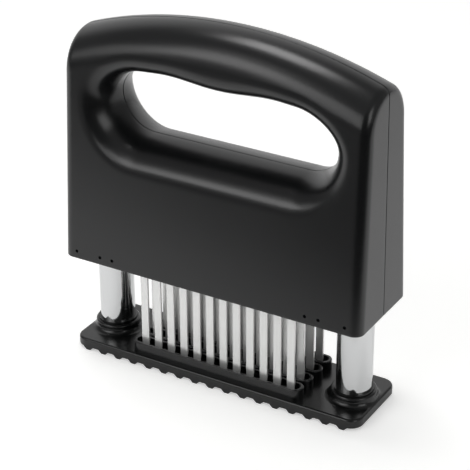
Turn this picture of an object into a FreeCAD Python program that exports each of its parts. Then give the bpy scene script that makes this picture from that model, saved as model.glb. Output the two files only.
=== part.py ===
import FreeCAD, Part
import math
import os

from FreeCAD import Vector

# Blade meat tenderizer at rest: the casing stands at the top of its posts.
# X runs along the casing, the front faces -Y, Z is up and the teeth rest on Z = 0.

# Base plate
plate_end_reach = 9.65
plate_depth = 32.9
plate_thickness = 3.4
plate_corner_radius = 5.0
plate_edge_radius = 0.9

# Teeth along the front and back lower edges
tooth_height = 1.3
tooth_pitch = 6.9
tooth_base_width = 4.4
tooth_base_depth = 2.2
tooth_tip_width = 1.8
tooth_tip_depth = 1.0
tooth_end_margin = 6.0

# Rims round the blade slots
rim_height = 4.0
rim_wall = 1.1
rim_edge_radius = 0.4
slot_side_clearance = 1.7
slot_end_clearance = 2.3

# Collars round the post feet
collar_height = 4.45
collar_wall = 1.8
collar_lip_height = 0.9
collar_lip_wall = 0.7
collar_shoulder_radius = 0.9
collar_foot_radius = 2.2
socket_floor = 3.2

# Posts
post_end_distance = 10.75
post_diameter = 13.5
post_wall = 0.7
plug_height = 9.4
plug_clearance = 0.05
socket_clearance = 0.05
cap_sleeve_length = 5.0
cap_sleeve_wall = 0.55
cap_flange_thickness = 2.2
cap_flange_overhang = 1.15
cap_stop_gap = 0.1

# Stroke of the casing
press_travel = 31.7
landing_gap = 0.35

# Casing
casing_length = 125.0
casing_depth = 37.8
end_draft = 0.0179
face_draft = 0.0164
crown_height = 98.15
crown_arc_radius = 173.0
crown_rounding = 20.7
casing_stations = 9
end_edge_radius = 4.4
side_wall = 3.0
end_wall = 2.4
parting_groove = 0.16

# Hand opening, measured at mid depth where it is narrowest
column_width = 16.1
opening_height = 28.3
opening_floor_height = 49.2
opening_top_drop = 0.0012
swell_depth = 1.4
swell_half_length = 24.0
flare_floor = 9.1
flare_top = 8.9
flare_side = 10.9
flare_overrun = 0.12
arc_points = 24
line_points = 20
flare_stations = 7

# Pockets that lighten the columns and the grip
pocket_half_depth = 10.0
pocket_wall = 4.5
pocket_crown_wall = 6.5
pocket_end_wall = 4.0
pocket_shelf = 8.0

# Post chambers in the columns
chamber_clearance = 1.7
chamber_height = 47.0

# Blades
blade_count = 12
row_count = 4
blade_pitch = 5.73
row_pitch = 7.4
blade_width = 3.06
blade_thickness = 0.8
blade_tip_depth = 1.5
blade_bevel_length = 2.4
blade_edge_thickness = 0.12
blade_head_width = 4.6
blade_head_height = 2.0
blade_fit = 0.08

# Guide plate with the post bushes
guide_plate_recess = 0.3
guide_plate_thickness = 6.0
room_clearance = 0.1
bush_wall = 0.9
bush_running_clearance = 0.05
bush_seat_clearance = 0.05
bush_flange_overhang = 0.7
bush_flange_thickness = 1.5
bush_bottom_recess = 0.2
bush_neck_height = 2.6

# Cross pins through the shell walls into the guide plate
pin_diameter = 1.0
pin_hole_clearance = 0.05
pin_height = 3.0
pin_length = 7.0
pin_recess = 0.7
pin_offset_inner = 11.05
pin_offset_middle = 5.65
pin_offset_outer = 4.75

# Blade holder and clamp plate
holder_height = 15.0
holder_thickness = 8.0
holder_end_margin = 3.0
clamp_thickness = 6.0
ledge_depth = 2.4
ledge_thickness = 2.0
ledge_clearance = 0.1

# Springs and their upper seats
spring_wire = 1.0
spring_coil_radius = 4.7
spring_turns = 20
spring_end_gap = 0.05
seat_flange_radius = 7.0
seat_flange_thickness = 2.0
seat_pin_radius = 3.4
seat_pin_length = 24.0

# Screws
screw_radius = 1.45
screw_clearance = 0.05
pan_head_radius = 2.7
pan_head_height = 2.0
driver_slot_length = 3.2
driver_slot_width = 0.7
driver_slot_depth = 0.8
shell_screw_length = 22.0
shell_screw_head_depth = 7.6
boss_wall = 1.2
clamp_screw_length = 12.0
clamp_screw_pitches = 5
post_screw_head_radius = 3.0
post_screw_head_height = 1.5
post_screw_length = 9.0
post_screw_tip_gap = 1.0

# Lengths and levels worked out from the sizes above
post_spacing = casing_length - 2 * post_end_distance
plate_length = post_spacing + 2 * plate_end_reach
opening_length = casing_length - 2 * column_width
plate_bottom = tooth_height
plate_top = plate_bottom + plate_thickness
rim_top = plate_top + rim_height
blade_tip_height = rim_top - blade_tip_depth
collar_top = plate_top + collar_height
socket_bottom = plate_bottom + socket_floor
casing_bottom = collar_top + press_travel + landing_gap
casing_front = -casing_depth / 2
crown_top = casing_bottom + crown_height
opening_floor = casing_bottom + opening_floor_height
opening_middle = opening_floor + opening_height / 2
flare_reach = casing_depth / 2 - face_draft * (opening_floor_height - flare_floor) + flare_overrun
room_half_length = casing_length / 2 - end_wall
room_half_depth = casing_depth / 2 - side_wall
room_ceiling = opening_floor - flare_floor
guide_plate_bottom = casing_bottom + guide_plate_recess
guide_plate_top = guide_plate_bottom + guide_plate_thickness
bush_bottom = guide_plate_bottom + bush_bottom_recess
bush_flange_top = guide_plate_top + bush_flange_thickness
bush_top = bush_flange_top + bush_neck_height
holder_bottom = casing_bottom + holder_height
holder_top = holder_bottom + holder_thickness
clamp_top = holder_top + clamp_thickness
chamber_top = casing_bottom + chamber_height
post_radius = post_diameter / 2
post_bore_radius = post_radius - post_wall
post_top = bush_top + cap_stop_gap
plug_top = socket_bottom + plug_height
cap_sleeve_radius = post_bore_radius - plug_clearance
cap_bore_radius = cap_sleeve_radius - cap_sleeve_wall
cap_flange_radius = post_radius + cap_flange_overhang
bush_bore_radius = post_radius + bush_running_clearance
bush_radius = bush_bore_radius + bush_wall
blade_span = (blade_count - 1) * blade_pitch + blade_width
slot_length = blade_span + 2 * slot_end_clearance
slot_width = blade_thickness + 2 * slot_side_clearance
seat_bottom = chamber_top - seat_flange_thickness
boss_radius = pan_head_radius + screw_clearance + boss_wall
past_faces = 1.0
same_place = 1e-4


def box(x_size, y_size, z_low, z_high, x_middle=0.0, y_middle=0.0):
    corner = Vector(x_middle - x_size / 2, y_middle - y_size / 2, z_low)
    return Part.makeBox(x_size, y_size, z_high - z_low, corner)


def cylinder(radius, z_low, z_high, x=0.0, y=0.0):
    return Part.makeCylinder(radius, z_high - z_low, Vector(x, y, z_low))


def cross_cylinder(radius, x, z, y_low, y_high):
    return Part.makeCylinder(radius, y_high - y_low, Vector(x, y_low, z), Vector(0, 1, 0))


def tube(outer_radius, inner_radius, z_low, z_high, x=0.0):
    hole = cylinder(inner_radius, z_low - past_faces, z_high + past_faces, x)
    return cylinder(outer_radius, z_low, z_high, x).cut(hole)


def post_sides():
    return {"left": -post_spacing / 2, "right": post_spacing / 2}


def row_places():
    first = -(row_count - 1) * row_pitch / 2
    return [first + index * row_pitch for index in range(row_count)]


def blade_places():
    first = -(blade_count - 1) * blade_pitch / 2
    return [first + index * blade_pitch for index in range(blade_count)]


def edges_at_height(shape, height):
    return [edge for edge in shape.Edges
            if abs(edge.BoundBox.ZMin - height) < same_place
            and abs(edge.BoundBox.ZMax - height) < same_place]


# Base plate

def base_slab():
    slab = box(plate_length, plate_depth, plate_bottom, plate_top)
    upright = [edge for edge in slab.Edges if edge.BoundBox.ZLength > plate_thickness / 2]
    slab = slab.makeFillet(plate_corner_radius, upright)
    return slab.makeFillet(plate_edge_radius, edges_at_height(slab, plate_top))


def stadium(length, width, z_low, z_high, y_middle):
    reach = (length - width) / 2
    bar = box(2 * reach, width, z_low, z_high, 0.0, y_middle)
    ends = [cylinder(width / 2, z_low, z_high, x, y_middle) for x in (-reach, reach)]
    return bar.fuse(ends).removeSplitter()


def slot_rim(y_middle):
    rim = stadium(slot_length + 2 * rim_wall, slot_width + 2 * rim_wall, plate_bottom, rim_top, y_middle)
    return rim.makeFillet(rim_edge_radius, edges_at_height(rim, rim_top))


def blade_slot(y_middle):
    return stadium(slot_length, slot_width, plate_bottom - past_faces, rim_top + past_faces, y_middle)


def collar(x):
    socket_radius = post_radius + socket_clearance
    body_radius = socket_radius + collar_wall
    lip_radius = socket_radius + collar_lip_wall
    shoulder = collar_top - collar_lip_height
    corners = [Vector(0, 0, plate_bottom), Vector(body_radius, 0, plate_bottom),
               Vector(body_radius, 0, shoulder), Vector(lip_radius, 0, shoulder),
               Vector(lip_radius, 0, collar_top), Vector(0, 0, collar_top), Vector(0, 0, plate_bottom)]
    ring = Part.Face(Part.makePolygon(corners)).revolve(Vector(0, 0, 0), Vector(0, 0, 1), 360)
    ring.translate(Vector(x, 0, 0))
    return ring


def collar_edges(plate, radius, height):
    """The circular edges of both collars with this radius at this height."""
    return [edge for edge in edges_at_height(plate, height)
            if edge.Curve.TypeId == "Part::GeomCircle" and abs(edge.Curve.Radius - radius) < same_place]


def post_socket(x):
    socket = cylinder(post_radius + socket_clearance, socket_bottom, collar_top + past_faces, x)
    hole = cylinder(screw_radius + screw_clearance, plate_bottom - past_faces, socket_bottom + past_faces, x)
    return socket.fuse([hole, countersink(x, screw_clearance)])


def countersink(x, clearance):
    wide = post_screw_head_radius + clearance
    narrow = screw_radius + clearance
    return Part.makeCone(wide, narrow, post_screw_head_height, Vector(x, 0, plate_bottom))


def tooth(x, side):
    outer = side * plate_depth / 2
    inner = outer - side * tooth_base_depth
    tip_inner = outer - side * tooth_tip_depth
    base = tooth_outline(x, tooth_base_width, outer, inner, plate_bottom)
    tip = tooth_outline(x, tooth_tip_width, outer, tip_inner, 0)
    return Part.makeLoft([base, tip], True, True)


def tooth_outline(x, width, outer, inner, height):
    half = width / 2
    return Part.makePolygon([
        Vector(x - half, outer, height), Vector(x + half, outer, height),
        Vector(x + half, inner, height), Vector(x - half, inner, height),
        Vector(x - half, outer, height)])


def tooth_places():
    reach = int((plate_length / 2 - tooth_end_margin) / tooth_pitch)
    return [index * tooth_pitch for index in range(-reach, reach + 1)]


def base_plate():
    teeth = [tooth(x, side) for x in tooth_places() for side in (-1, 1)]
    rims = [slot_rim(y) for y in row_places()]
    collars = [collar(x) for x in post_sides().values()]
    plate = base_slab().fuse(rims + collars).removeSplitter()
    body_radius = post_radius + socket_clearance + collar_wall
    shoulder = collar_edges(plate, body_radius, collar_top - collar_lip_height)
    plate = plate.makeFillet(collar_shoulder_radius, shoulder)
    plate = plate.makeFillet(collar_foot_radius, collar_edges(plate, body_radius, plate_top))
    plate = plate.fuse(teeth)
    slots = [blade_slot(y) for y in row_places()]
    sockets = [post_socket(x) for x in post_sides().values()]
    return plate.cut(slots + sockets).removeSplitter()


# Posts

def post_tube(x):
    return tube(post_radius, post_bore_radius, socket_bottom, post_top, x)


def post_plug(x):
    thread_top = plate_bottom + post_screw_length + post_screw_tip_gap
    thread = cylinder(screw_radius + screw_clearance, socket_bottom - past_faces, thread_top, x)
    return cylinder(post_bore_radius - plug_clearance, socket_bottom, plug_top, x).cut(thread)


def post_screw(x):
    seat = Vector(x, 0, plate_bottom)
    head = Part.makeCone(post_screw_head_radius, screw_radius, post_screw_head_height, seat)
    shank = cylinder(screw_radius, plate_bottom, plate_bottom + post_screw_length, x)
    slot = box(2 * post_screw_head_radius, driver_slot_width, plate_bottom - past_faces,
               plate_bottom + driver_slot_depth, x)
    return head.fuse(shank).removeSplitter().cut(slot)


def post_screws():
    return Part.makeCompound([post_screw(x) for x in post_sides().values()])


def post_cap(x):
    sleeve = tube(cap_sleeve_radius, cap_bore_radius, post_top - cap_sleeve_length, post_top, x)
    flange = tube(cap_flange_radius, cap_bore_radius, post_top, post_top + cap_flange_thickness, x)
    return sleeve.fuse(flange).removeSplitter()


# Casing shells

def arched_bar(half_length, arc_radius, arc_top, low, depth):
    """A bar along X whose top follows the crown's arc, centred on Y = 0."""
    shoulder = arc_top - arc_radius + math.sqrt(arc_radius ** 2 - half_length ** 2)
    front = -depth / 2
    corners = [Vector(-half_length, front, low), Vector(half_length, front, low),
               Vector(half_length, front, shoulder), Vector(-half_length, front, shoulder)]
    top = Part.Arc(corners[2], Vector(0, front, arc_top), corners[3]).toShape()
    sides = [Part.makeLine(corners[0], corners[1]), Part.makeLine(corners[1], corners[2]),
             top, Part.makeLine(corners[3], corners[0])]
    return Part.Face(Part.Wire(sides)).extrude(Vector(0, depth, 0))


def casing_section(x):
    """The outline across the casing: leaning walls under a half-ellipse crown."""
    crest = crown_top - crown_arc_radius + math.sqrt(crown_arc_radius ** 2 - x ** 2)
    spring_line = crest - crown_rounding
    foot = casing_depth / 2
    half = foot - face_draft * (spring_line - casing_bottom)
    corners = [Vector(x, -half, spring_line), Vector(x, half, spring_line),
               Vector(x, foot, casing_bottom), Vector(x, -foot, casing_bottom)]
    ellipse = Part.Ellipse(Vector(x, 0, crest), corners[1], Vector(x, 0, spring_line))
    crown = Part.ArcOfEllipse(ellipse, -math.pi / 2, math.pi / 2).toShape()
    sides = [crown, Part.makeLine(corners[1], corners[2]),
             Part.makeLine(corners[2], corners[3]), Part.makeLine(corners[3], corners[0])]
    return Part.Wire(sides)


def end_trimmer():
    """A block whose two ends lean inwards like the casing's ends."""
    height = crown_height + past_faces
    low_x = casing_length / 2
    high_x = low_x - end_draft * height
    reach = casing_depth
    block = Part.makeWedge(-low_x, 0, -reach, -reach, -high_x, low_x, height, reach, reach, high_x)
    block.rotate(Vector(0, 0, 0), Vector(1, 0, 0), 90)
    block.translate(Vector(0, 0, casing_bottom))
    return block


def casing_block():
    half = casing_length / 2 + past_faces
    step = 2 * half / (casing_stations - 1)
    sections = [casing_section(index * step - half) for index in range(casing_stations)]
    block = Part.makeLoft(sections, True, False).common(end_trimmer())
    return block.makeFillet(end_edge_radius, end_outline_edges(block))


def end_outline_edges(block):
    edges = []
    for face in block.Faces:
        if faces_sideways(face.normalAt(0, 0)):
            edges += [edge for edge in face.Edges if edge.BoundBox.ZMax > casing_bottom + past_faces]
    return edges


def faces_sideways(normal):
    return abs(normal.x) > abs(normal.y) + abs(normal.z)


def outline_stations():
    """Centre and outward angle of each point round the opening's stadium outline."""
    reach = (opening_length - opening_height) / 2
    stations = []
    for side in (1, -1):
        first_angle = -side * math.pi / 2
        for index in range(arc_points):
            stations.append((side * reach, first_angle + math.pi * index / arc_points))
        for index in range(line_points):
            stations.append((side * reach * (1 - 2 * index / line_points), first_angle + math.pi))
    return stations


def opening_point(centre, angle, grow_floor, grow_top, grow_side):
    """The point of the opening's outline, grown outwards, at one station."""
    out_x = math.cos(angle)
    out_z = math.sin(angle)
    grow_z = grow_top if out_z > 0 else grow_floor
    reach = opening_height / 2 + grow_side * out_x ** 2 + grow_z * out_z ** 2
    x = centre + out_x * reach
    drop = max(out_z, 0) * (finger_swell(x) + opening_top_drop * x ** 2)
    return x, opening_middle + out_z * reach - drop


def finger_swell(x):
    if abs(x) > swell_half_length:
        return 0.0
    return swell_depth * (1 + math.cos(math.pi * x / swell_half_length)) / 2


def opening_wire(y, grow_floor, grow_top, grow_side):
    points = []
    for centre, angle in outline_stations():
        x, z = opening_point(centre, angle, grow_floor, grow_top, grow_side)
        points.append(Vector(x, y, z))
    curve = Part.BSplineCurve()
    curve.interpolate(Points=points, PeriodicFlag=True)
    return Part.Wire(curve.toShape())


def opening_half(side):
    """The half of the flared opening in front of (-1) or behind (+1) the parting plane."""
    wires = []
    for index in range(flare_stations):
        angle = math.pi / 2 * index / (flare_stations - 1)
        grow = 1 - math.cos(angle)
        y = side * flare_reach * math.sin(angle)
        wires.append(opening_wire(y, flare_floor * grow, flare_top * grow, flare_side * grow))
    return Part.makeLoft(wires, True, False)


def upper_pocket():
    """The hollow of the columns and the grip, round the opening."""
    half = casing_length / 2 - pocket_end_wall
    low = chamber_top + pocket_shelf
    block = arched_bar(half, crown_arc_radius - pocket_crown_wall, crown_top - pocket_crown_wall,
                       low, 2 * pocket_half_depth)
    core_wire = opening_wire(-pocket_half_depth - past_faces, pocket_wall, pocket_wall, pocket_wall)
    core = Part.Face(core_wire).extrude(Vector(0, 2 * (pocket_half_depth + past_faces), 0))
    return block.cut(core)


def lower_room():
    room = box(2 * room_half_length, 2 * room_half_depth, casing_bottom - past_faces, room_ceiling)
    chambers = [cylinder(post_radius + chamber_clearance, casing_bottom, chamber_top, x)
                for x in post_sides().values()]
    return room.fuse(chambers)


def ledges(side):
    """Ribs inside a shell that hold the blade holder from below and its clamp plate from above."""
    middle = side * (room_half_depth - ledge_depth / 2 + side_wall / 4)
    depth = ledge_depth + side_wall / 2
    lower = box(blade_span, depth, holder_bottom - ledge_thickness, holder_bottom, 0, middle)
    upper_bottom = clamp_top + ledge_clearance
    upper = box(blade_span, depth, upper_bottom, upper_bottom + ledge_thickness, 0, middle)
    return [lower, upper]


def shell_screw_places():
    """X and Z of the six shell screws: above the blades, in the columns and in the grip."""
    reach = (clamp_screw_pitches + 1) * blade_pitch
    above_clamp = (clamp_top + room_ceiling) / 2
    column = (opening_length / 2 + pocket_wall + casing_length / 2 - pocket_end_wall) / 2
    grip_x = opening_length / 4
    grip_z = (opening_floor + opening_height + pocket_wall + crown_top - pocket_crown_wall) / 2
    crown_fall = grip_x ** 2 / (2 * crown_arc_radius)
    places = []
    for side in (-1, 1):
        places.append((side * reach, above_clamp))
        places.append((side * column, opening_middle))
        places.append((side * grip_x, grip_z - crown_fall))
    return places


def half_space(side):
    depth = casing_depth
    height = crown_height + 2 * past_faces
    block = box(2 * casing_length, depth, casing_bottom - past_faces, casing_bottom + height)
    block.translate(Vector(0, side * (depth / 2 + parting_groove / 2), 0))
    return block


def casing_half(side):
    """One half of the hollow casing, with screw bosses that reach the parting plane."""
    solid = casing_block().cut(opening_half(side)).common(half_space(side))
    hollow = solid.cut([lower_room(), upper_pocket()])
    return hollow.fuse(bosses(side) + ledges(side))


def bosses(side):
    """A boss from the parting plane across the hollow at each shell screw."""
    pieces = []
    for x, z in shell_screw_places():
        depth = room_half_depth if z < room_ceiling else pocket_half_depth
        pieces.append(cross_cylinder(boss_radius, x, z, min(0, side * depth), max(0, side * depth)))
    return pieces


def pin_places():
    places = []
    for side in (-1, 1):
        axis = side * post_spacing / 2
        places += [axis - side * pin_offset_inner, axis - side * pin_offset_middle,
                   axis + side * pin_offset_outer]
    return places


def pin_holes(y_low, y_high):
    radius = pin_diameter / 2 + pin_hole_clearance
    return [cross_cylinder(radius, x, casing_bottom + pin_height, y_low, y_high) for x in pin_places()]


def front_shell():
    shell = casing_half(-1)
    depth = shell_screw_length - casing_depth / 2 + shell_screw_head_depth + post_screw_tip_gap
    radius = screw_radius + screw_clearance
    pilots = [cross_cylinder(radius, x, z, -depth, past_faces) for x, z in shell_screw_places()]
    pins = pin_holes(casing_front - past_faces, -room_half_depth + past_faces)
    return shell.cut(pilots + pins).removeSplitter()


def back_shell():
    shell = casing_half(1)
    seat = casing_depth / 2 - shell_screw_head_depth
    radius = screw_radius + screw_clearance
    head_radius = pan_head_radius + screw_clearance
    outside = casing_depth / 2 + past_faces
    tools = []
    for x, z in shell_screw_places():
        tools.append(cross_cylinder(radius, x, z, -past_faces, outside))
        tools.append(cross_cylinder(head_radius, x, z, seat, outside))
    pins = pin_holes(room_half_depth - past_faces, outside)
    return shell.cut(tools + pins).removeSplitter()


def pan_screw(length):
    """A pan-head screw along -Z with the underside of its head at the origin."""
    head = cylinder(pan_head_radius, 0, pan_head_height)
    head = head.makeFillet(pan_head_height / 2, edges_at_height(head, pan_head_height))
    shank = cylinder(screw_radius, -length, 0)
    floor = pan_head_height - driver_slot_depth
    slots = [box(driver_slot_length, driver_slot_width, floor, pan_head_height + past_faces),
             box(driver_slot_width, driver_slot_length, floor, pan_head_height + past_faces)]
    return head.fuse(shank).removeSplitter().cut(slots)


def shell_screws():
    seat = casing_depth / 2 - shell_screw_head_depth
    screws = []
    for x, z in shell_screw_places():
        screw = pan_screw(shell_screw_length)
        screw.rotate(Vector(0, 0, 0), Vector(1, 0, 0), -90)
        screw.translate(Vector(x, seat, z))
        screws.append(screw)
    return Part.makeCompound(screws)


# Guide plate, bushes and pins

def guide_plate():
    length = 2 * (room_half_length - room_clearance)
    depth = 2 * (room_half_depth - room_clearance)
    plate = box(length, depth, guide_plate_bottom, guide_plate_top)
    low = guide_plate_bottom - past_faces
    high = guide_plate_top + past_faces
    bores = [cylinder(bush_radius + bush_seat_clearance, low, high, x) for x in post_sides().values()]
    blind = room_half_depth + side_wall - pin_recess - pin_length - pin_hole_clearance
    pins = pin_holes(-room_half_depth - past_faces, -blind) + pin_holes(blind, room_half_depth + past_faces)
    return plate.cut(bores + pins + blade_holes(low, high))


def blade_holes(z_low, z_high):
    width = blade_width + 2 * blade_fit
    depth = blade_thickness + 2 * blade_fit
    return [box(width, depth, z_low, z_high, x, y) for x in blade_places() for y in row_places()]


def guide_bush(x):
    body = tube(bush_radius, bush_bore_radius, bush_bottom, bush_top, x)
    flange = tube(bush_radius + bush_flange_overhang, bush_bore_radius, guide_plate_top, bush_flange_top, x)
    return body.fuse(flange).removeSplitter()


def guide_pins():
    outer = casing_depth / 2 - pin_recess
    inner = outer - pin_length
    height = casing_bottom + pin_height
    radius = pin_diameter / 2
    pins = [cross_cylinder(radius, x, height, -outer, -inner) for x in pin_places()]
    pins += [cross_cylinder(radius, x, height, inner, outer) for x in pin_places()]
    return Part.makeCompound(pins)


# Blade pack

def blade(x, y):
    """A flat blade, bevelled to its cutting edge, with a head that hangs in the holder."""
    front = y - blade_thickness / 2
    back = y + blade_thickness / 2
    left = x - blade_width / 2
    shoulder = blade_tip_height + blade_bevel_length
    head_top = holder_top + blade_head_height
    outline = [
        Vector(left, front, blade_tip_height), Vector(left, front + blade_edge_thickness, blade_tip_height),
        Vector(left, back, shoulder), Vector(left, back, head_top), Vector(left, front, head_top),
        Vector(left, front, blade_tip_height)]
    strip = Part.Face(Part.makePolygon(outline)).extrude(Vector(blade_width, 0, 0))
    head = box(blade_head_width, blade_thickness, holder_top, head_top, x, y)
    return strip.fuse(head).removeSplitter()


def blade_row(y):
    return Part.makeCompound([blade(x, y) for x in blade_places()])


def pack_length():
    return blade_span + 2 * holder_end_margin


def clamp_screw_places():
    reach = clamp_screw_pitches * blade_pitch
    return [(x, y) for x in (-reach, reach) for y in (-row_pitch, row_pitch)]


def blade_holder():
    depth = 2 * (room_half_depth - room_clearance)
    block = box(pack_length(), depth, holder_bottom, holder_top)
    low = holder_bottom - past_faces
    high = holder_top + past_faces
    threads = [cylinder(screw_radius + screw_clearance, low, high, x, y) for x, y in clamp_screw_places()]
    return block.cut(threads + blade_holes(low, high))


def blade_clamp_plate():
    depth = 2 * (room_half_depth - room_clearance)
    plate = box(pack_length(), depth, holder_top, clamp_top)
    groove_length = blade_span + blade_head_width
    groove_depth = blade_thickness + 2 * blade_fit
    groove_top = holder_top + blade_head_height + blade_fit
    grooves = [box(groove_length, groove_depth, holder_top - past_faces, groove_top, 0, y)
               for y in row_places()]
    radius = screw_radius + screw_clearance
    holes = [cylinder(radius, holder_top - past_faces, clamp_top + past_faces, x, y)
             for x, y in clamp_screw_places()]
    return plate.cut(grooves + holes)


def clamp_screws():
    screws = []
    for x, y in clamp_screw_places():
        screw = pan_screw(clamp_screw_length)
        screw.translate(Vector(x, y, clamp_top))
        screws.append(screw)
    return Part.makeCompound(screws)


# Springs

def spring(x):
    low = plug_top + spring_end_gap + spring_wire / 2
    high = seat_bottom - spring_end_gap - spring_wire / 2
    height = high - low
    helix = Part.makeHelix(height / spring_turns, height, spring_coil_radius)
    start = Vector(spring_coil_radius, 0, 0)
    section = Part.Wire(Part.makeCircle(spring_wire / 2, start, Vector(0, 1, 0)))
    coil = Part.Wire(helix.Edges).makePipeShell([section], True, True)
    coil.translate(Vector(x, 0, low))
    return coil


def spring_guide(x):
    flange = cylinder(seat_flange_radius, seat_bottom, chamber_top, x)
    pin = cylinder(seat_pin_radius, seat_bottom - seat_pin_length, seat_bottom, x)
    return flange.fuse(pin).removeSplitter()


def all_nodes():
    nodes = {
        "base_plate": base_plate(),
        "post_screws": post_screws(),
        "front_shell": front_shell(),
        "back_shell": back_shell(),
        "shell_screws": shell_screws(),
        "guide_plate": guide_plate(),
        "guide_pins": guide_pins(),
        "blade_holder": blade_holder(),
        "blade_clamp_plate": blade_clamp_plate(),
        "clamp_screws": clamp_screws(),
    }
    for number, y in enumerate(row_places(), start=1):
        nodes["blade_row_" + str(number)] = blade_row(y)
    for side, x in post_sides().items():
        nodes[side + "_post_tube"] = post_tube(x)
        nodes[side + "_post_plug"] = post_plug(x)
        nodes[side + "_post_cap"] = post_cap(x)
        nodes[side + "_guide_bush"] = guide_bush(x)
        nodes[side + "_spring"] = spring(x)
        nodes[side + "_spring_guide"] = spring_guide(x)
    return nodes


os.makedirs("parts", exist_ok=True)
for name, shape in all_nodes().items():
    shape.exportStep("parts/" + name + ".step")
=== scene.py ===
import math
from itertools import product

import bmesh
import bpy
import numpy as np
from mathutils import Matrix, Vector


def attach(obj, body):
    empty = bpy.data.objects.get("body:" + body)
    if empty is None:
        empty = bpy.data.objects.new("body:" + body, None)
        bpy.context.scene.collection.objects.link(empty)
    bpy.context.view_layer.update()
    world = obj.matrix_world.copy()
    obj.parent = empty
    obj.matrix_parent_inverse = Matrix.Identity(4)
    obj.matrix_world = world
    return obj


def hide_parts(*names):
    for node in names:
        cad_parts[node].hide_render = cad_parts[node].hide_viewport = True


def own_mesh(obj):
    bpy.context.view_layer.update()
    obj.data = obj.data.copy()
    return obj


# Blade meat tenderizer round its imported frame. Sizes are in millimetres unless a line says metres.
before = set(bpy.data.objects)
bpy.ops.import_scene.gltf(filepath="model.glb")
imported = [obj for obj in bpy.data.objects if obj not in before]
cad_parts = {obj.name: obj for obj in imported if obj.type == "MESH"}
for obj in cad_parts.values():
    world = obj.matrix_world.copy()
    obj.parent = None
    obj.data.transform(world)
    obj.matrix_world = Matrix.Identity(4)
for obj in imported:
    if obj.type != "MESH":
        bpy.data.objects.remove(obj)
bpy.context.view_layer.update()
mm = 0.001
tiny = 1e-6   # keeps divisions away from zero
print("frame loaded:", len(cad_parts), "nodes")


# Camera

camera = {
    "place": (295.49, -497.89, 362.54),
    "azimuth": 30.5625,      # to the right of the front, degrees
    "elevation": 27.7988,
    "roll": -0.3087,
    "lens": 136.883,
    "sensor": 36,            # the width that the lens is given for
    "clip": (0.01, 50),      # metres
}


def makeCamera(settings):
    azimuth = math.radians(settings["azimuth"])
    elevation = math.radians(settings["elevation"])
    roll = math.radians(settings["roll"])
    back = Vector((math.sin(azimuth) * math.cos(elevation),
                   -math.cos(azimuth) * math.cos(elevation),
                   math.sin(elevation)))
    right = Vector((math.cos(azimuth), math.sin(azimuth), 0))
    up = back.cross(right)
    turnedRight = right * math.cos(roll) + up * math.sin(roll)
    turnedUp = up * math.cos(roll) - right * math.sin(roll)
    data = bpy.data.cameras.new("camera")
    data.lens = settings["lens"]
    data.sensor_width = settings["sensor"]
    data.clip_start, data.clip_end = settings["clip"]
    eye = bpy.data.objects.new("camera", data)
    bpy.context.collection.objects.link(eye)
    eye.matrix_world = Matrix((turnedRight, turnedUp, back)).transposed().to_4x4()
    eye.location = Vector(settings["place"]) * mm
    bpy.context.scene.camera = eye


makeCamera(camera)
print("camera set")


# Colours, nodes and materials

def linear(hexColour):
    # the linear colour of an sRGB hex code, with full alpha
    channels = [int(hexColour[i:i + 2], 16) / 255 for i in (1, 3, 5)]
    return [c / 12.92 if c <= 0.04045 else ((c + 0.055) / 1.055) ** 2.4 for c in channels] + [1.0]


def addNode(tree, kind, settings=None, links=None):
    # settings name an input or a property of the node, links join outputs to its inputs
    node = tree.nodes.new(kind)
    for name, value in (settings or {}).items():
        if isinstance(name, int) or name in node.inputs:
            node.inputs[name].default_value = value
        else:
            setattr(node, name, value)
    for name, source in (links or {}).items():
        tree.links.new(source, node.inputs[name])
    return node


def newMaterial(name):
    material = bpy.data.materials.new(name)
    material.use_nodes = True
    tree = material.node_tree
    tree.nodes.clear()
    return material, tree


def perMetre(millimetres):
    # a texture's scale from the size of one grain
    return 1000 / millimetres


# ABS, injection moulded in a spark-eroded tool: an even satin black with a fine grain
mouldedAbs = {
    "colour": "#0b0c0d",
    "dustyColour": "#111213",
    "roughness": (0.22, 0.28),
    "ior": 1.52,
    "grain": 0.45,           # drawn about twice as coarse as the real 0.2 mm grain
    "grainDetail": 3.0,
    "grainRoughness": 0.6,
    "grainHeight": 0.012,
    "patch": 26.0,           # size of the slightly duller patches
    "patchDetail": 2.0,
}
# The same ABS from a polished tool: smoother and darker, with slow waves in its shine
glossAbs = dict(mouldedAbs, colour="#0a0b0b", dustyColour="#0e0f0f", roughness=(0.21, 0.28),
                grain=6.0, grainHeight=0.02, patch=14.0)
# Glass-filled nylon: a dull dark grey
filledNylon = dict(mouldedAbs, colour="#17191a", dustyColour="#1d1f20", roughness=(0.42, 0.55))
# Acetal: an off-white with a soft shine
acetal = dict(mouldedAbs, colour="#e2e1dc", dustyColour="#d8d7d1", roughness=(0.34, 0.42),
              ior=1.48)


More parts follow.
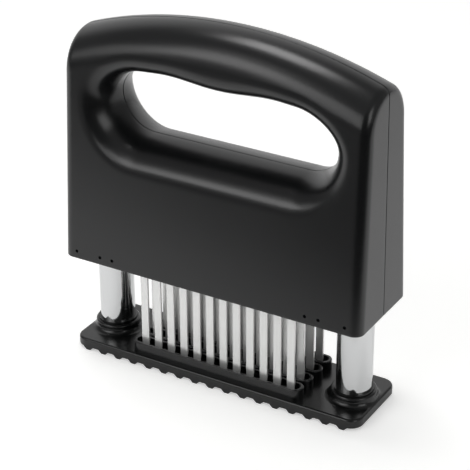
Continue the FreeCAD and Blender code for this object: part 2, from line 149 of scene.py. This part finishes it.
def makeMouldedPlastic(values, name):
    material, tree = newMaterial(name)
    place = addNode(tree, "ShaderNodeTexCoord")
    grain = addNode(tree, "ShaderNodeTexNoise",
                    {"Scale": perMetre(values["grain"]), "Detail": values["grainDetail"],
                     "Roughness": values["grainRoughness"]},
                    {"Vector": place.outputs["Object"]})
    patch = addNode(tree, "ShaderNodeTexNoise",
                    {"Scale": perMetre(values["patch"]), "Detail": values["patchDetail"]},
                    {"Vector": place.outputs["Object"]})
    low, high = values["roughness"]
    rough = addNode(tree, "ShaderNodeMapRange", {"To Min": low, "To Max": high},
                    {"Value": patch.outputs["Fac"]})
    tint = addNode(tree, "ShaderNodeMix",
                   {"data_type": "RGBA", 6: linear(values["colour"]),
                    7: linear(values["dustyColour"])},
                   {0: patch.outputs["Fac"]})
    bump = addNode(tree, "ShaderNodeBump",
                   {"Strength": 1.0, "Distance": values["grainHeight"] * mm},
                   {"Height": grain.outputs["Fac"]})
    shader = addNode(tree, "ShaderNodeBsdfPrincipled", {"IOR": values["ior"]},
                     {"Base Color": tint.outputs[2], "Roughness": rough.outputs["Result"],
                      "Normal": bump.outputs["Normal"]})
    addNode(tree, "ShaderNodeOutputMaterial", None, {"Surface": shader.outputs["BSDF"]})
    return material


# Stainless steel tube, drawn along Z and polished: a clear mirror with faint long lines
polishedSteel = {
    "colour": "#d2d3d3",
    "roughness": (0.05, 0.09),
    "line": 0.3,             # drawn coarser than the real 0.05 mm lines
    "lineDetail": 2.0,
    "stretch": 0.02,         # below 1 it draws the lines out along Z
    "lineHeight": 0.0005,
    "haze": 0.01,            # the share of light that its fine scratches scatter evenly
}
# Stainless strip ground on its flats: a pale satin that blurs what it mirrors. Its grinding
# lines are drawn coarser than real ones too.
groundSteel = dict(polishedSteel, colour="#f0f0ef", roughness=(0.22, 0.28), line=0.25,
                   stretch=0.03, lineHeight=0.001, haze=0.45)
# Zinc-plated steel: a dull light grey, with a grain that is drawn coarse enough to show
platedSteel = dict(polishedSteel, colour="#a7a8a6", roughness=(0.28, 0.4), line=0.6,
                   stretch=1.0, lineHeight=0.004, haze=0.0)
# Blued steel: nearly black, with little shine and the same coarse grain
bluedSteel = dict(platedSteel, colour="#1b1d20", roughness=(0.3, 0.4), line=0.4,
                  lineHeight=0.002)


def makeSteel(values, name):
    material, tree = newMaterial(name)
    place = addNode(tree, "ShaderNodeTexCoord")
    drawn = addNode(tree, "ShaderNodeMapping", {"Scale": (1, 1, values["stretch"])},
                    {"Vector": place.outputs["Object"]})
    lines = addNode(tree, "ShaderNodeTexNoise",
                    {"Scale": perMetre(values["line"]), "Detail": values["lineDetail"]},
                    {"Vector": drawn.outputs["Vector"]})
    low, high = values["roughness"]
    rough = addNode(tree, "ShaderNodeMapRange", {"To Min": low, "To Max": high},
                    {"Value": lines.outputs["Fac"]})
    bump = addNode(tree, "ShaderNodeBump",
                   {"Strength": 1.0, "Distance": values["lineHeight"] * mm},
                   {"Height": lines.outputs["Fac"]})
    shader = addNode(tree, "ShaderNodeBsdfPrincipled",
                     {"Base Color": linear(values["colour"]), "Metallic": 1 - values["haze"]},
                     {"Roughness": rough.outputs["Result"], "Normal": bump.outputs["Normal"]})
    addNode(tree, "ShaderNodeOutputMaterial", None, {"Surface": shader.outputs["BSDF"]})
    return material


materials = {
    "casing": makeMouldedPlastic(mouldedAbs, "mouldedAbs"),
    "plate": makeMouldedPlastic(glossAbs, "glossAbs"),
    "inner": makeMouldedPlastic(filledNylon, "filledNylon"),
    "bush": makeMouldedPlastic(acetal, "acetal"),
    "post": makeSteel(polishedSteel, "polishedSteel"),
    "blade": makeSteel(groundSteel, "groundSteel"),
    "plated": makeSteel(platedSteel, "platedSteel"),
    "blued": makeSteel(bluedSteel, "bluedSteel"),
}
print("materials made:", len(materials))


# Finishes of the solids that keep their own shape
finishes = {
    "base_plate": "plate", "guide_plate": "inner", "blade_holder": "inner",
    "blade_clamp_plate": "inner", "left_spring_guide": "inner", "right_spring_guide": "inner",
    "left_post_cap": "inner", "right_post_cap": "inner",
    "left_guide_bush": "bush", "right_guide_bush": "bush",
    "left_post_plug": "plated", "right_post_plug": "plated", "post_screws": "plated",
    "clamp_screws": "plated", "shell_screws": "plated", "guide_pins": "blued",
    "blade_row_1": "blade", "blade_row_2": "blade", "blade_row_3": "blade", "blade_row_4": "blade",
}
for node, finish in finishes.items():
    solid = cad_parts[node]
    solid.data.materials.clear()
    solid.data.materials.append(materials[finish])
print("finishes given:", len(finishes))


# Casing

casing = {
    "length": 125.0, "depth": 37.8, "bottom": 41.2, "top": 139.35,
    # the top's arc along X, and how far below it the faces begin to round over
    "arcRadius": 174.3, "crownRounding": 14.7,
    # how much the ends and the faces lean in for each millimetre upwards
    "endDraft": 0.0111, "faceDraft": 0.0556,
    # the corners between faces and ends, low down and at the crown
    "edgeRadius": 3.8, "crownEdgeRadius": 2.5,
    "openingLength": 91.2, "openingHeight": 27.7, "openingMiddle": 105.3,
    # the opening's top sinks with X squared, and swells down in the middle for the fingers.
    # The rounds are how often the outline is worked out again with the sunk top.
    "topDrop": 0.0014, "dropRounds": 4,
    "swellDepth": 2.06, "swellHalfLength": 24.7, "swellMiddle": 1.1,
    # width of the flare round the opening, and the powers that set how full its lip is
    "flareFloor": 11.0, "flareTop": 9.0, "flareSide": 9.8, "lipPower": 1.85, "topLipPower": 3.6,
    "leastSlope": 0.02,      # keeps the distance finite where the field is flat
    "wall": 2.0, "lip": 0.3,
    # the soft edge in three steps, as shares of the lip along and inwards
    "lipSteps": ((0.45, 0.04), (0.8, 0.2), (1.0, 0.62)),
    # the parting groove, and the rim above which the halves meet under it
    "groove": 0.21, "grooveDepth": 0.45, "grooveStep": 0.05, "meetingGap": 0.005, "openRim": 3,
    # the net's cell and box: its field ends below the real bottom edge, which is cut later
    "cell": 0.9, "cutLevel": 33.0,
    "netLow": (-64.6, -20.6, 30.1), "netHigh": (64.6, 20.6, 141.4),
}


def fingerSwell(x):
    share = np.clip((x - casing["swellMiddle"]) / casing["swellHalfLength"], -1, 1)
    return casing["swellDepth"] * (1 + np.cos(np.pi * share)) / 2


def openingOut(x, z):
    # distance outwards from the opening's narrowest outline, and the flare and its power there
    reach = (casing["openingLength"] - casing["openingHeight"]) / 2
    across = np.maximum(np.abs(x) - reach, 0)
    rise = z - casing["openingMiddle"]
    drop = casing["topDrop"] * x ** 2 + fingerSwell(x)
    height = rise
    for _ in range(casing["dropRounds"]):
        radius = np.hypot(across, height) + tiny
        height = rise + np.maximum(height / radius, 0) * drop
    radius = np.hypot(across, height) + tiny
    upright = (height / radius) ** 2
    flare = casing["flareSide"] * (1 - upright)
    flare += np.where(height > 0, casing["flareTop"], casing["flareFloor"]) * upright
    fuller = np.where(height > 0, casing["topLipPower"] - casing["lipPower"], 0)
    power = casing["lipPower"] + fuller * upright
    return radius - casing["openingHeight"] / 2, flare, power


def casingField(points):
    # below zero inside the casing, about the distance in millimetres near its surface
    x, y, z = points[..., 0], np.abs(points[..., 1]) + tiny, points[..., 2]
    arc = casing["arcRadius"]
    crown = casing["top"] - arc + np.sqrt(arc ** 2 - x ** 2)
    springLine = crown - casing["crownRounding"]
    climb = np.minimum(z, springLine) - casing["bottom"]
    half = casing["depth"] / 2 - casing["faceDraft"] * climb
    rise = np.maximum(z - springLine, 0) / casing["crownRounding"]
    out, flare, power = openingOut(x, z)
    lip = np.clip(1 - out / flare, 0, None)
    reach = np.hypot(y / half, rise)
    size = np.sqrt(reach ** power + lip ** 2)
    across = power * reach ** (power - 2)
    slope = np.sqrt((across * y / half ** 2) ** 2 + (across * rise / casing["crownRounding"]) ** 2
                    + (2 * lip / flare) ** 2) / (2 * size)
    face = (size - 1) / np.maximum(slope, casing["leastSlope"])
    end = np.abs(x) - casing["length"] / 2 + casing["endDraft"] * (z - casing["bottom"])
    # the corner's radius eases from its low value to its value at the crown
    share = np.minimum(rise, 1)
    share = share * share * (3 - 2 * share)
    radius = casing["edgeRadius"] + (casing["crownEdgeRadius"] - casing["edgeRadius"]) * share
    rounded = np.hypot(np.maximum(face + radius, 0), np.maximum(end + radius, 0))
    body = np.minimum(np.maximum(face, end), -radius) + rounded
    return np.maximum(body, casing["cutLevel"] - z)


def surfaceNet(field, low, high, step):
    # one point in each cell that the surface crosses, and a quad round each crossed grid edge
    axes = [np.arange(a, b + step, step) for a, b in zip(low, high)]
    inside = field(np.stack(np.meshgrid(*axes, indexing="ij"), -1)) < 0
    counts = np.array(inside.shape) - 1
    corners = sum(inside[i:counts[0] + i, j:counts[1] + j, k:counts[2] + k].astype(int)
                  for i, j, k in product((0, 1), repeat=3))
    cells = np.argwhere((corners > 0) & (corners < 8))
    index = np.full(counts, -1)
    index[tuple(cells.T)] = np.arange(len(cells))
    points = np.array(low) + (cells + 0.5) * step
    quads = []
    for axis in range(3):
        u, v = (axis + 1) % 3, (axis + 2) % 3
        near = np.take(inside, range(counts[axis]), axis)
        far = np.take(inside, range(1, counts[axis] + 1), axis)
        for flipped, edges in ((False, near & ~far), (True, ~near & far)):
            places = np.argwhere(edges)
            ring = []
            for du, dv in ((1, 1), (0, 1), (0, 0), (1, 0)):
                cell = places.copy()
                cell[:, u] -= du
                cell[:, v] -= dv
                ring.append(index[tuple(cell.T)])
            ring = np.stack(ring, 1)
            quads.append(ring[:, ::-1] if flipped else ring)
    return points, np.concatenate(quads)


def fieldSlope(field, points, step=0.05):
    slope = np.zeros_like(points)
    for axis in range(3):
        shift = np.zeros(3)
        shift[axis] = step
        slope[:, axis] = (field(points + shift) - field(points - shift)) / (2 * step)
    return slope


def settle(field, points, quads, rounds=6, moves=3, longest=1.0, flattest=0.05, ease=0.5):
    # moves the points onto the surface and evens out the quads between them
    pairs = np.concatenate([quads[:, [i, (i + 1) % 4]] for i in range(4)])
    for turn in range(rounds):
        for _ in range(moves):
            slope = fieldSlope(field, points)
            steep = np.maximum((slope ** 2).sum(1), flattest)
            move = slope * (field(points) / steep)[:, None]
            length = np.linalg.norm(move, axis=1, keepdims=True)
            points = points - move * np.minimum(1, longest / np.maximum(length, tiny))
        if turn == rounds - 1:
            break
        total = np.zeros_like(points)
        count = np.zeros(len(points))
        np.add.at(total, pairs[:, 0], points[pairs[:, 1]])
        np.add.at(total, pairs[:, 1], points[pairs[:, 0]])
        np.add.at(count, pairs[:, 0], 1)
        np.add.at(count, pairs[:, 1], 1)
        points = points + ease * (total / count[:, None] - points)
    return points


def meshObject(name, points, faces, material, smooth=True):
    mesh = bpy.data.meshes.new(name)
    corners = [tuple(p) for p in np.asarray(points) * mm]
    mesh.from_pydata(corners, [], [tuple(map(int, f)) for f in faces])
    mesh.materials.append(material)
    mesh.polygons.foreach_set("use_smooth", [smooth] * len(mesh.polygons))
    thing = bpy.data.objects.new(name, mesh)
    bpy.context.collection.objects.link(thing)
    return thing


def cutAway(form, level, axis, keepAbove, snap=1e-7, near=1e-6):
    # cuts the mesh at a level on one axis and returns the new open edges, all in metres
    normal = Vector([1.0 if i == axis else 0.0 for i in range(3)])
    geometry = form.verts[:] + form.edges[:] + form.faces[:]
    bmesh.ops.bisect_plane(form, geom=geometry, dist=snap, plane_co=normal * level,
                           plane_no=normal, clear_inner=keepAbove, clear_outer=not keepAbove)
    return [e for e in form.edges if e.is_boundary
            and all(abs(v.co[axis] - level) < near for v in e.verts)]


def turnLip(form, edges, axis, steps):
    # carries open edges on along one axis, drawing them in at each step. A step is its place
    # along the axis and inwards from the cut, and the height below which it is left out.
    form.normal_update()
    ring = {v: (v.co.copy(), v.normal.copy()) for e in edges for v in e.verts}
    last = {v: v for v in ring}
    runs = [(e.link_loops[0].vert, e.link_loops[0].link_loop_next.vert) for e in edges]
    for along, inward, lowest in steps:
        fresh = {}
        for v, (place, normal) in ring.items():
            if place.z < lowest:
                continue
            normal[axis] = 0
            normal.normalize()
            spot = place - normal * inward
            spot[axis] += along
            fresh[v] = form.verts.new(spot)
        for a, b in runs:
            if a in fresh and b in fresh:
                form.faces.new((last[b], last[a], fresh[a], fresh[b])).smooth = True
        last.update(fresh)


def casingHalf(name, side, points, quads):
    # side is -1 for the front half and 1 for the back half
    half = meshObject(name, points, quads, materials["casing"])
    form = bmesh.new()
    form.from_mesh(half.data)
    lip, gap = casing["lip"] * mm, casing["groove"] / 2 * mm
    bottom = casing["bottom"] * mm
    edges = cutAway(form, bottom + lip, 2, True)
    turnLip(form, edges, 2, [(-lip * a, lip * b, 0) for a, b in casing["lipSteps"]])
    edges = cutAway(form, side * (gap + lip), 1, side > 0)
    seam = [(lip * a, lip * b, 0) for a, b in casing["lipSteps"]]
    # under the groove the halves meet, so no light comes through above the rim
    depth, rim = casing["grooveDepth"] * mm, bottom + casing["openRim"] * mm
    seam += [(lip, depth, rim),
             (lip + gap - casing["meetingGap"] * mm, depth + casing["grooveStep"] * mm, rim)]
    turnLip(form, edges, 1, [(-side * along, inward, lowest) for along, inward, lowest in seam])
    bmesh.ops.recalc_face_normals(form, faces=form.faces)
    form.to_mesh(half.data)
    form.free()
    wall = half.modifiers.new("wall", "SOLIDIFY")
    wall.thickness = casing["wall"] * mm
    wall.offset = -1
    return half


def applyModifiers(thing):
    bpy.context.view_layer.update()
    evaluated = thing.evaluated_get(bpy.context.evaluated_depsgraph_get())
    mesh = bpy.data.meshes.new_from_object(evaluated)
    thing.modifiers.clear()
    old = thing.data
    thing.data = mesh
    bpy.data.meshes.remove(old)


def turned(profile, segments, axis, centre):
    # points and faces of a closed profile of (radius, height) turned round an axis
    count = len(profile)
    points, faces = [], []
    for i in range(segments):
        angle = 2 * math.pi * i / segments
        for radius, height in profile:
            a, b = radius * math.cos(angle), radius * math.sin(angle)
            spot = (a, b, height) if axis == 2 else (b, height, a)
            points.append([spot[k] + centre[k] for k in range(3)])
    for i in range(segments):
        for j in range(count):
            k = (j + 1) % count
            nextI = (i + 1) % segments
            faces.append((i * count + j, nextI * count + j, nextI * count + k, i * count + k))
    return points, faces


points, quads = surfaceNet(casingField, casing["netLow"], casing["netHigh"], casing["cell"])
points = settle(casingField, points, quads)
frontShell = casingHalf("frontShell", -1, points, quads)
backShell = casingHalf("backShell", 1, points, quads)
print("casing made:", len(quads), "quads")


# Holes in the two halves

shellHoles = {
    # each pair of screws: across, up, and how far back the boss reaches into the wall
    "screws": ((34.38, 75.75, 15.8), (54.95, 104.55, 13.5), (23.2, 126.5, 12.6)),
    # radii of the bores and the boss, and the depth of the head's seat
    "seat": 11.3, "headBore": 2.95, "shankBore": 1.65, "boss": 3.95, "screwSegments": 40,
    # the pins' places across on both sides, their height, and their holes' radius and depth
    "pins": (56.5, 46.1, 40.7), "pinHeight": 44.2, "pinBore": 0.66, "pinDepth": 5,
    "pinSegments": 24,
    "past": 1,               # how far the cutters run past the surface
    "core": 0.0005,          # the turned profiles stop this far from their axis
}


def joined(parts, name):
    # one flat-shaded object from several sets of points and faces
    points, faces = [], []
    for morePoints, moreFaces in parts:
        start = len(points)
        points += morePoints
        faces += [tuple(i + start for i in face) for face in moreFaces]
    return meshObject(name, points, faces, materials["casing"], False)


def solidPin(radius, low, high, x, z, segments):
    core = shellHoles["core"]
    profile = [(core, low), (radius, low), (radius, high), (core, high)]
    return turned(profile, segments, 1, (x, 0, z))


def bore(thing, tool, operation):
    # joins or cuts with a tool, which is then removed
    cut = thing.modifiers.new(operation, "BOOLEAN")
    cut.operation = operation
    cut.object = tool
    cut.solver = "EXACT"
    applyModifiers(thing)
    bpy.data.objects.remove(tool)


def sharpenEdges(thing, angle=40):
    # smooth faces with sharp edges where they turn by more than the angle in degrees
    form = bmesh.new()
    form.from_mesh(thing.data)
    for face in form.faces:
        face.smooth = True
    for edge in form.edges:
        edge.smooth = len(edge.link_faces) == 2 and edge.calc_face_angle(0) < math.radians(angle)
    form.to_mesh(thing.data)
    form.free()


for shell in (frontShell, backShell):
    applyModifiers(shell)
pinSpots = [(side * x, shellHoles["pinHeight"]) for x in shellHoles["pins"] for side in (-1, 1)]
screwSpots = [(side * x, z, reach) for x, z, reach in shellHoles["screws"] for side in (-1, 1)]
halfDepth = casing["depth"] / 2
past, core = shellHoles["past"], shellHoles["core"]
outside, pinEnd = halfDepth + past, halfDepth - shellHoles["pinDepth"]
pinBore, pinSegments = shellHoles["pinBore"], shellHoles["pinSegments"]
pinTools = [solidPin(pinBore, -outside, -pinEnd, x, z, pinSegments) for x, z in pinSpots]
bore(frontShell, joined(pinTools, "pinTool"), "DIFFERENCE")
boss, screwSegments = shellHoles["boss"], shellHoles["screwSegments"]
bosses = [solidPin(boss, casing["groove"], reach, x, z, screwSegments)
          for x, z, reach in screwSpots]
bore(backShell, joined(bosses, "bosses"), "UNION")
boreTools = [solidPin(pinBore, pinEnd, outside, x, z, pinSegments) for x, z in pinSpots]
shank, head, seat = shellHoles["shankBore"], shellHoles["headBore"], shellHoles["seat"]
for x, z, reach in screwSpots:
    profile = [(core, -past), (shank, -past), (shank, seat), (head, seat), (head, outside),
               (core, outside)]
    boreTools.append(turned(profile, screwSegments, 1, (x, 0, z)))
bore(backShell, joined(boreTools, "boreTool"), "DIFFERENCE")
for shell, node in ((frontShell, "front_shell"), (backShell, "back_shell")):
    sharpenEdges(shell)
    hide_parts(node)
    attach(shell, "handle")
print("casing holes cut")


# Posts

post = {
    "spacing": 103.5, "radius": 6.75, "bore": 6.05, "low": 4.5, "high": 51.7, "edge": 0.15,
    "segments": 160, "crease": 30,   # degrees
}


def postTube(name, node, x):
    outer, inner, edge = post["radius"], post["bore"], post["edge"]
    low, high = post["low"], post["high"]
    profile = [(inner, low), (outer - edge, low), (outer, low + edge), (outer, high - edge),
               (outer - edge, high), (inner, high)]
    points, faces = turned(profile, post["segments"], 2, (x, 0, 0))
    tube = meshObject(name, points, faces, materials["post"])
    sharpenEdges(tube, post["crease"])
    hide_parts(node)
    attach(tube, "base")


postTube("leftPostTube", "left_post_tube", -post["spacing"] / 2)
postTube("rightPostTube", "right_post_tube", post["spacing"] / 2)
print("posts made")


# Springs inside the posts, drawn as fixed coils; the real springs shorten with the stroke

spring = {
    "coil": 4.7, "wire": 0.5, "low": 13.95, "high": 86.15, "stroke": 31.7,
    "turns": 20, "steps": 28, "round": 10,   # steps in a turn and points round the wire
}


def coilSpring(name, node, x):
    low, high = spring["low"] + spring["wire"], spring["high"] - spring["wire"]
    total = spring["turns"] * spring["steps"]
    rise = high - low
    points, faces = [], []
    for i in range(total + 1):
        share = i / total
        angle = 2 * math.pi * spring["turns"] * share
        for k in range(spring["round"]):
            lean = 2 * math.pi * k / spring["round"]
            radius = spring["coil"] + spring["wire"] * math.cos(lean)
            height = low + rise * share + spring["wire"] * math.sin(lean)
            points.append((x + radius * math.cos(angle), radius * math.sin(angle), height))
    for i in range(total):
        for k in range(spring["round"]):
            n = (k + 1) % spring["round"]
            a, b = i * spring["round"], (i + 1) * spring["round"]
            faces.append((a + k, b + k, b + n, a + n))
    faces.append(tuple(reversed(range(spring["round"]))))
    faces.append(tuple(total * spring["round"] + k for k in range(spring["round"])))
    coil = meshObject(name, points, faces, materials["plated"])
    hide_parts(node)
    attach(coil, "base")
    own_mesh(coil)


coilSpring("leftSpring", "left_spring", -post["spacing"] / 2)
coilSpring("rightSpring", "right_spring", post["spacing"] / 2)
print("springs made")


# Floor, backdrop and lamps. The metal and the black plastic show what stands round the object,
# so the room is pale behind it and dim on the camera's side.

stage = {
    "floor": "#f2f2f0",
    "size": 6.0,             # metres
    "glow": 0.45,            # what the camera sees added to the floor's own brightness
    "fade": (0.5, 1.5),      # metres from the middle over which the floor turns white
    # how white the floor looks in reflections: at the middle, the growth for each metre along
    # X and Y, and the most it reaches, then the same for the dim left front
    "floorSeen": (2.3, (-4.9, 12.2, 0.0), 1.35),
    "leftSeen": (0.15, (-2.4, 0.0, 0.0), 0.33),
    "leastSeen": 0.05,
    "brightSide": (-0.506, 0.862, 0.0),   # the way to the room's bright side
    # brightness of the room, from the dim side (-1) to the bright side (1)
    "room": ((-1.0, 0.07), (-0.8, 0.1), (-0.55, 0.33), (0.4, 0.24), (0.68, 0.92), (1.0, 0.95)),
}

# softboxes: azimuth to the right of the front, elevation, width and height in degrees, and
# brightness
lamps = {
    "overheadBox": (-106, 76.7, 19, 22, 6.4),
    "frontBox": (-29, 30.5, 18, 21, 3.15),
    "frontUpperBox": (-29, 47, 18, 12, 0.8),
    "frontLeftBox": (-47, 21, 18, 19, 1.05),
    "frontRightBox": (-9, 23, 18, 31, 1.7),
    "rightBox": (68, 25, 24, 29, 1.8),
}
lampDistance = 0.9                  # metres
lampTarget = Vector((0, 0, 0.09))   # metres


def flatStage(name, corners, height, material):
    mesh = bpy.data.meshes.new(name)
    ring = [(x * mm, y * mm, height * mm) for x, y in corners]
    mesh.from_pydata(ring, [], [tuple(range(len(corners)))])
    mesh.materials.append(material)
    sheet = bpy.data.objects.new(name, mesh)
    bpy.context.collection.objects.link(sheet)


def floorLevel(tree, place, start, growth, most):
    # a level that grows across the floor up to a limit
    lean = addNode(tree, "ShaderNodeVectorMath", {"operation": "DOT_PRODUCT", 1: growth},
                   {0: place.outputs["Object"]})
    level = addNode(tree, "ShaderNodeMath", {"operation": "ADD", 1: start},
                    {0: lean.outputs["Value"]})
    return addNode(tree, "ShaderNodeMath", {"operation": "MINIMUM", 1: most},
                   {0: level.outputs["Value"]})


def makeFloor():
    material, tree = newMaterial("paleFloor")
    path = addNode(tree, "ShaderNodeLightPath")
    place = addNode(tree, "ShaderNodeTexCoord")
    # what the camera sees: pale paper with a glow, white further out
    paper = addNode(tree, "ShaderNodeBsdfDiffuse", {"Color": linear(stage["floor"])})
    glow = addNode(tree, "ShaderNodeEmission", {"Strength": stage["glow"]})
    lit = addNode(tree, "ShaderNodeAddShader", None,
                  {0: paper.outputs["BSDF"], 1: glow.outputs["Emission"]})
    distance = addNode(tree, "ShaderNodeVectorMath", {"operation": "LENGTH"},
                       {0: place.outputs["Object"]})
    near, far = stage["fade"]
    share = addNode(tree, "ShaderNodeMapRange", {"From Min": near, "From Max": far},
                    {"Value": distance.outputs["Value"]})
    backdrop = addNode(tree, "ShaderNodeEmission", {"Strength": 1.0})
    faded = addNode(tree, "ShaderNodeMixShader", None,
                    {0: share.outputs["Result"], 1: lit.outputs["Shader"],
                     2: backdrop.outputs["Emission"]})
    direct = addNode(tree, "ShaderNodeMixShader", None,
                     {0: path.outputs["Is Camera Ray"], 1: paper.outputs["BSDF"],
                      2: faded.outputs["Shader"]})
    # what the object's surfaces mirror
    whole = floorLevel(tree, place, *stage["floorSeen"])
    left = floorLevel(tree, place, *stage["leftSeen"])
    more = addNode(tree, "ShaderNodeMath", {"operation": "MAXIMUM"},
                   {0: whole.outputs["Value"], 1: left.outputs["Value"]})
    level = addNode(tree, "ShaderNodeMath", {"operation": "MAXIMUM", 1: stage["leastSeen"]},
                    {0: more.outputs["Value"]})
    seen = addNode(tree, "ShaderNodeBsdfDiffuse", None, {"Color": level.outputs["Value"]})
    mirrored = addNode(tree, "ShaderNodeMath", {"operation": "MAXIMUM"},
                       {0: path.outputs["Is Glossy Ray"],
                        1: path.outputs["Is Transmission Ray"]})
    mix = addNode(tree, "ShaderNodeMixShader", None,
                  {0: mirrored.outputs["Value"], 1: direct.outputs["Shader"],
                   2: seen.outputs["BSDF"]})
    addNode(tree, "ShaderNodeOutputMaterial", None, {"Surface": mix.outputs["Shader"]})
    half = stage["size"] / 2 / mm
    corners = ((-half, -half), (half, -half), (half, half), (-half, half))
    flatStage("floor", corners, 0, material)


def direction(azimuth, elevation):
    a, e = math.radians(azimuth), math.radians(elevation)
    return Vector((math.sin(a) * math.cos(e), -math.cos(a) * math.cos(e), math.sin(e)))


def makeLamp(name, azimuth, elevation, width, height, brightness):
    data = bpy.data.lights.new(name, "AREA")
    data.shape = "RECTANGLE"
    data.size = 2 * lampDistance * math.tan(math.radians(width / 2))
    data.size_y = 2 * lampDistance * math.tan(math.radians(height / 2))
    data.energy = brightness * math.pi * data.size * data.size_y
    lamp = bpy.data.objects.new(name, data)
    bpy.context.collection.objects.link(lamp)
    away = direction(azimuth, elevation)
    lamp.location = lampTarget + away * lampDistance
    lamp.rotation_mode = "QUATERNION"
    lamp.rotation_quaternion = away.to_track_quat("Z", "Y")


def makeWorld():
    # white for the camera, and a room with a dim and a bright side for everything else
    world = bpy.data.worlds.new("studio")
    world.use_nodes = True
    tree = world.node_tree
    tree.nodes.clear()
    place = addNode(tree, "ShaderNodeTexCoord")
    lean = addNode(tree, "ShaderNodeVectorMath",
                   {"operation": "DOT_PRODUCT", 1: stage["brightSide"]},
                   {0: place.outputs["Generated"]})
    share = addNode(tree, "ShaderNodeMapRange", {"From Min": -1.0, "From Max": 1.0},
                    {"Value": lean.outputs["Value"]})
    room = addNode(tree, "ShaderNodeValToRGB", None, {"Fac": share.outputs["Result"]})
    stops = room.color_ramp.elements
    for index, (side, level) in enumerate(stage["room"]):
        # a new ramp already has two stops
        stop = stops[index] if index < 2 else stops.new(1.0)
        stop.position = (side + 1) / 2
        stop.color = (level, level, level, 1)
    path = addNode(tree, "ShaderNodeLightPath")
    seen = addNode(tree, "ShaderNodeMix", {"data_type": "RGBA", 7: linear("#ffffff")},
                   {0: path.outputs["Is Camera Ray"], 6: room.outputs["Color"]})
    sky = addNode(tree, "ShaderNodeBackground", None, {"Color": seen.outputs[2]})
    addNode(tree, "ShaderNodeOutputWorld", None, {"Surface": sky.outputs["Background"]})
    bpy.context.scene.world = world


makeFloor()
makeWorld()
for name, values in lamps.items():
    makeLamp(name, *values)
bpy.context.scene.view_settings.view_transform = "Standard"
print("stage and lamps set")
